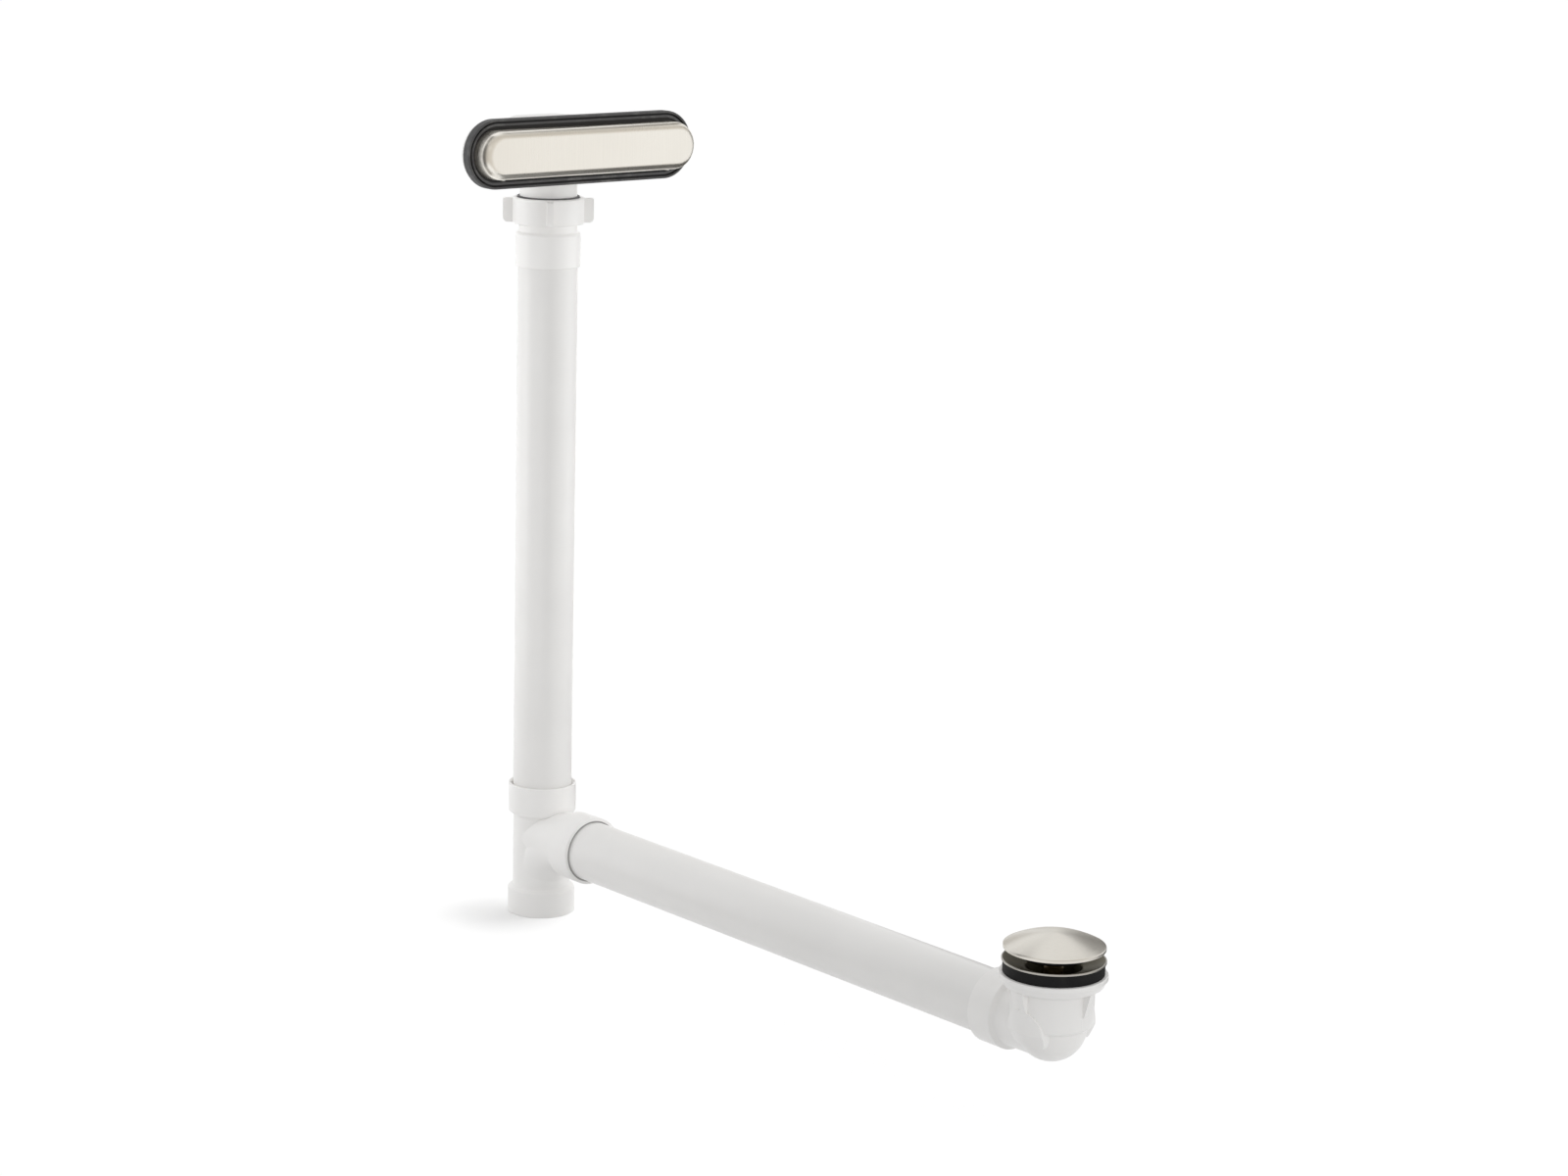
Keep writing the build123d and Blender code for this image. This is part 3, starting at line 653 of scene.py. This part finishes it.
def makeCamera():
    turn = math.radians(cameraView["azimuth"])
    rise = math.radians(cameraView["elevation"])
    roll = math.radians(cameraView["roll"])
    right = Vector((math.cos(turn), math.sin(turn), 0))
    back = Vector((math.sin(turn) * math.cos(rise), -math.cos(turn) * math.cos(rise), math.sin(rise)))
    up = back.cross(right)
    rolledRight = right * math.cos(roll) + up * math.sin(roll)
    rolledUp = up * math.cos(roll) - right * math.sin(roll)
    data = bpy.data.cameras.new("photoCamera")
    data.sensor_fit = "HORIZONTAL"
    data.sensor_width = cameraView["sensor"]
    data.lens = cameraView["lens"]
    data.clip_end = cameraView["farthest"]
    camera = addObject("photoCamera", data)
    columns = Matrix((rolledRight, rolledUp, back)).transposed().to_4x4()
    camera.matrix_world = Matrix.Translation(cameraView["place"]) @ columns
    bpy.context.scene.camera = camera
    return back


towardCamera = makeCamera()

# Studio: an even white surround, a little dimmer on the camera's side
studio = {"even": 0.76, "frontDip": 0.2, "skyLift": 0.06}


# 1 for rays that should see the plain white background
def seesBackground(graph):
    kinds = ["Is Camera Ray", "Is Glossy Ray", "Is Transmission Ray"]
    camera, glossy, clear = [graph.node("ShaderNodeLightPath", {}, {}, kind) for kind in kinds]
    return graph.clamp(camera + glossy + clear)


def makeWorld():
    world = bpy.data.worlds.new("studioWorld")
    bpy.context.scene.world = world
    graph = Graph(world)
    direction = graph.node("ShaderNodeTexCoord", {}, {}, "Generated")
    along = {0: direction, 1: tuple(towardCamera)}
    facing = graph.node("ShaderNodeVectorMath", {"operation": "DOT_PRODUCT"}, along, "Value")
    height = graph.axes(direction)[2]
    lit = studio["even"] - facing * studio["frontDip"] + height * studio["skyLift"]
    light = graph.node("ShaderNodeBackground", {}, {"Color": lit, "Strength": 1.0})
    white = graph.node("ShaderNodeBackground", {}, {"Color": (1, 1, 1, 1), "Strength": 1.0})
    mixed = graph.node("ShaderNodeMixShader", {}, {0: seesBackground(graph), 1: light, 2: white})
    graph.node("ShaderNodeOutputWorld", {}, {"Surface": mixed})


# Flat floor: corners at plus and minus half its width, at the height of the tee's mouth.
# It glows towards white, and takes the object's shadow most strongly round the tee that stands on it
floorLook = {
    "half": 40.0,
    "bounce": 0.8,
    "far": {"shade": 0.22, "glow": 0.84},
    "near": {"shade": 0.97, "glow": 0.02},
    "nearCentre": (-0.038, 0.01, 0.0),
    "nearReach": (0.006, 0.066),
}


def makeFloor():
    look = floorLook
    corners = np.array([(-1, -1, 0), (1, -1, 0), (1, 1, 0), (-1, 1, 0)], float) * look["half"]
    mesh = bpy.data.meshes.new("floor")
    mesh.from_pydata(corners.tolist(), [], [(0, 1, 2, 3)])
    floor = addObject("floor", mesh)
    material = bpy.data.materials.new("paleFloor")
    graph = Graph(material)

    def white(part):
        shaded = graph.node("ShaderNodeBsdfDiffuse", {}, {"Color": rgba((1, 1, 1), part["shade"])})
        glow = graph.node("ShaderNodeEmission", {}, {"Color": (1, 1, 1, 1), "Strength": part["glow"]})
        return graph.node("ShaderNodeAddShader", {}, {0: shaded, 1: glow})

    x, y = graph.axes(graph.place(centre=look["nearCentre"]))[:2]
    far = distance(x, y).ease(*look["nearReach"])
    seen = graph.node("ShaderNodeMixShader", {}, {0: far, 1: white(look["near"]), 2: white(look["far"])})
    pale = graph.node("ShaderNodeBsdfDiffuse", {}, {"Color": rgba((1, 1, 1), look["bounce"])})
    mixed = graph.node("ShaderNodeMixShader", {}, {0: seesBackground(graph), 1: pale, 2: seen})
    graph.node("ShaderNodeOutputMaterial", {}, {"Surface": mixed})
    mesh.materials.append(material)


# Studio cards that only reflections see: each is a parallelogram, its centre plus and minus two half sides.
# The side that the cross product of the half sides points to is dark, and the other is as white as the
# background. A window is a soft white patch on the dark side
cardTint = (1.0, 0.95, 0.88)
cards = {
    "floorCard": {"centre": (0.8, -0.4, 0.004), "sides": [(0.55, 0, 0), (0, 0.61, 0)], "shade": 0.05},
    "leftFloorCard": {"centre": (-0.58, -0.05, 0.004), "sides": [(0.42, 0, 0), (0, 0.25, 0)], "shade": 0.3},
    "aboveCard": {"centre": (0.42, 0.08, 1.12), "sides": [(-0.2, -0.2, 0), (0, 0, 0.25)], "shade": 0.25},
    "leftCard": {"centre": (-0.62, 0.0, 0.65), "sides": [(0, 0.25, 0), (0, 0, 0.55)], "shade": 0.04},
    "leftSkyCard": {"centre": (-0.36, 0.05, 1.2), "sides": [(0, 0.2, 0), (0.26, 0, 0)], "shade": 0.2},
    "rightCard": {"centre": (1.08, 0.0, 0.49), "sides": [(-0.13, 0.48, -0.84), (0, 0, -0.5)], "shade": 0.16},
    "backCard": {"centre": (0.5, 0.5, 0.42), "sides": [(0.3, 0, 0), (0, 0, 0.2)], "shade": 0.5},
    "frontCard": {
        "centre": (0.35, -1.0, 0.75),
        "sides": [(0, 0, 0.65), (0.95, 0, 0)],
        "shade": 0.7,
        "window": {"centre": (0.84, -1.0, 0.52), "halfWidth": 0.34, "halfHeight": 0.24, "fade": 0.25},
    },
    "upperCard": {"centre": (0.3, -0.36, 1.35), "sides": [(0, 0, 0.5), (1.0, 0, 0)], "shade": 0.6},
    "leftFrontCard": {"centre": (-0.62, -0.82, 0.62), "sides": [(0, 0.57, 0), (0, 0, 0.34)], "shade": 0.6},
}


def cardMaterial(name, card):
    material = bpy.data.materials.new(name)
    graph = Graph(material)
    tone = graph.node("ShaderNodeEmission", {}, {"Color": rgba(cardTint), "Strength": card["shade"]})
    white = graph.node("ShaderNodeEmission", {}, {"Color": (1, 1, 1, 1), "Strength": 1.0})
    bright = graph.node("ShaderNodeNewGeometry", {}, {}, "Backfacing")
    window = card.get("window")
    if window:
        x, y, z = graph.axes(graph.place(centre=window["centre"]))
        aside = (abs(x) - window["halfWidth"]).ease(0, window["fade"])
        above = (abs(z) - window["halfHeight"]).ease(0, window["fade"])
        bright = graph.clamp(bright + (1 - aside) * (1 - above))
    both = graph.node("ShaderNodeMixShader", {}, {0: bright, 1: tone, 2: white})
    graph.node("ShaderNodeOutputMaterial", {}, {"Surface": both})
    return material


def makeCards():
    for name, card in cards.items():
        centre, (across, along) = np.array(card["centre"]), np.array(card["sides"])
        corners = [centre + a * across + b * along for a, b in ((-1, -1), (1, -1), (1, 1), (-1, 1))]
        mesh = bpy.data.meshes.new(name)
        mesh.from_pydata([corner.tolist() for corner in corners], [], [(0, 1, 2, 3)])
        mesh.materials.append(cardMaterial(name, card))
        plane = addObject(name, mesh)
        plane.visible_camera = False
        plane.visible_diffuse = False
        plane.visible_shadow = False
        plane.visible_transmission = False


# Lamps: soft ones on the right and in front, and two upright strips that brighten both sides of the standpipe
lamps = {
    "rightLamp": {
        "place": (1.9, 0.95, 1.6), "target": (0, -0.1, 0.1),
        "size": (0.9, 0.9), "spread": 180, "power": 4.5,
    },
    "frontLamp": {
        "place": (0.3, -6.0, 1.2), "target": (0, -0.3, 0.3),
        "size": (1.5, 1.5), "spread": 180, "power": 40.0,
    },
    "leftStrip": {
        "place": (-0.45, 0.28, 0.42), "target": (0, 0, 0.42),
        "size": (0.12, 0.6), "spread": 90, "power": 0.32,
    },
    "rightStrip": {
        "place": (0.52, -0.3, 0.42), "target": (0, 0, 0.42),
        "size": (0.12, 0.6), "spread": 90, "power": 0.28,
    },
}


def makeLamps():
    for name, lamp in lamps.items():
        data = bpy.data.lights.new(name, "AREA")
        data.shape = "RECTANGLE"
        data.size, data.size_y = lamp["size"]
        data.spread = math.radians(lamp["spread"])
        data.energy = lamp["power"]
        light = addObject(name, data)
        light.visible_camera = False
        light.visible_glossy = False
        aim = Vector(lamp["target"]) - Vector(lamp["place"])
        turn = aim.to_track_quat("-Z", "Y").to_matrix().to_4x4()
        light.matrix_world = Matrix.Translation(lamp["place"]) @ turn


makeWorld()
makeFloor()
makeCards()
makeLamps()
bpy.context.scene.view_settings.view_transform = "Standard"
print("camera, floor and light ready")
